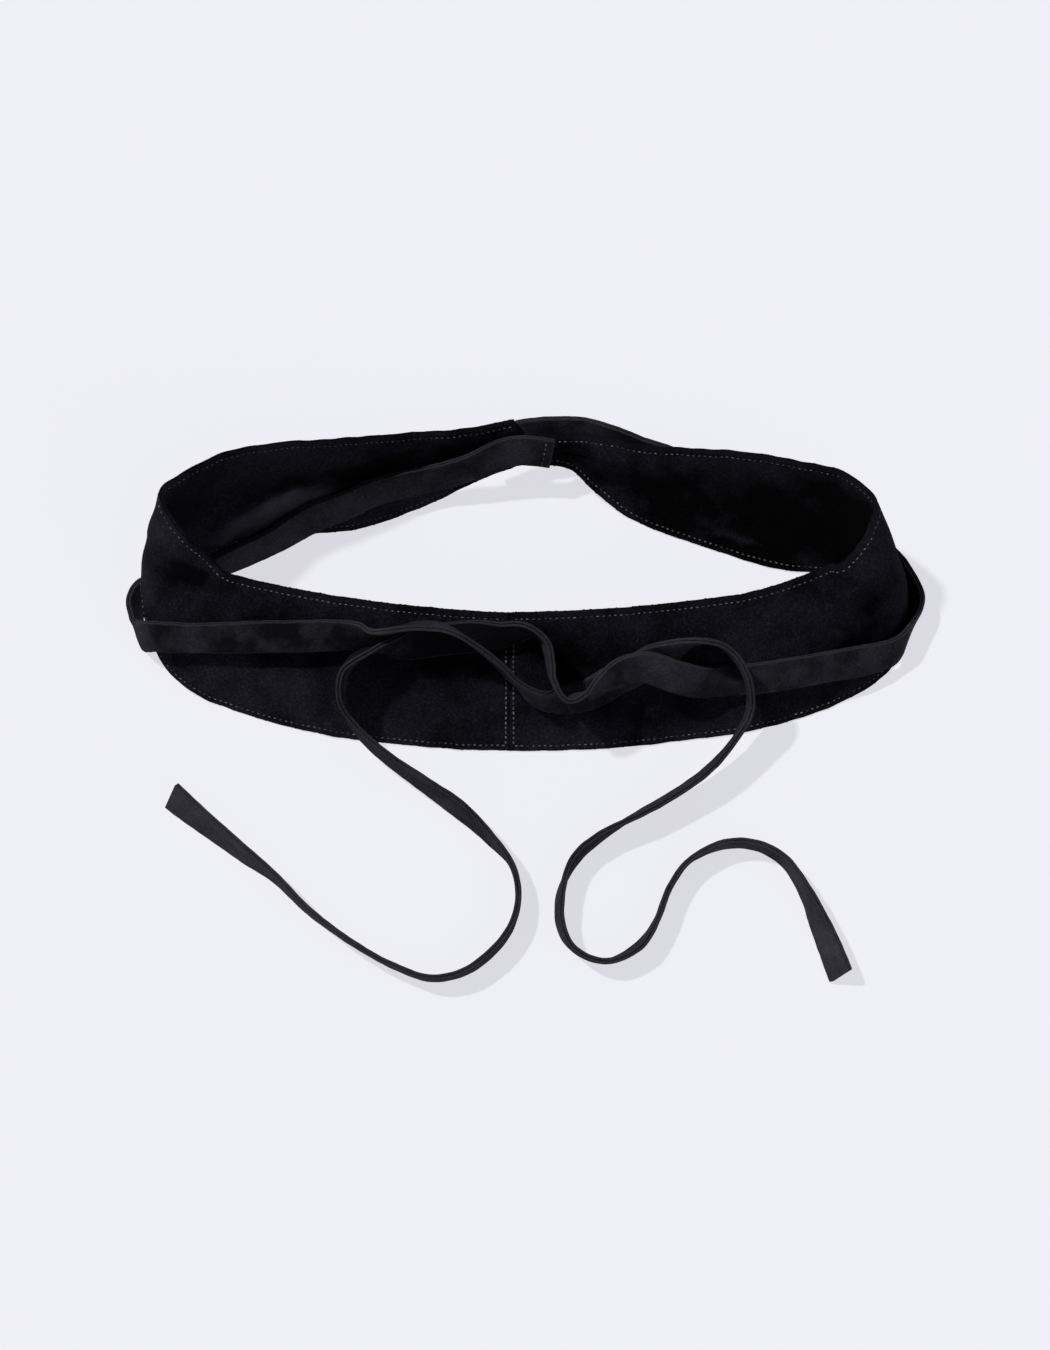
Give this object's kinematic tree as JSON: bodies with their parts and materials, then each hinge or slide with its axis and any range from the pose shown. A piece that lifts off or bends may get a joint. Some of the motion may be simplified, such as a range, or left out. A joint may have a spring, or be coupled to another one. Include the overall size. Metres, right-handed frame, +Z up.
{
  "type": "leather tie belt",
  "caption": "Wide suede tie belt standing round in an open loop, sewn at the centre front, with narrow ties that go once round it, cross in front and run out over the floor",
  "frame": {"origin": "on the floor, under the middle of the whole belt's box", "axes": "+X to the wearer's left as seen from the front (picture right), +Y from the free ends of the ties to the back of the loop, +Z up from the floor"},
  "size_m": [0.3888, 0.2768, 0.0921],
  "materials": {
    "body_suede": "matte napped suede",
    "tie_suede": "matte napped suede"
  },
  "bodies": {
    "root": {"panel_left": "body_suede", "panel_right": "body_suede", "tie_left": "tie_suede", "tie_right": "tie_suede"}
  },
  "joints": []
}
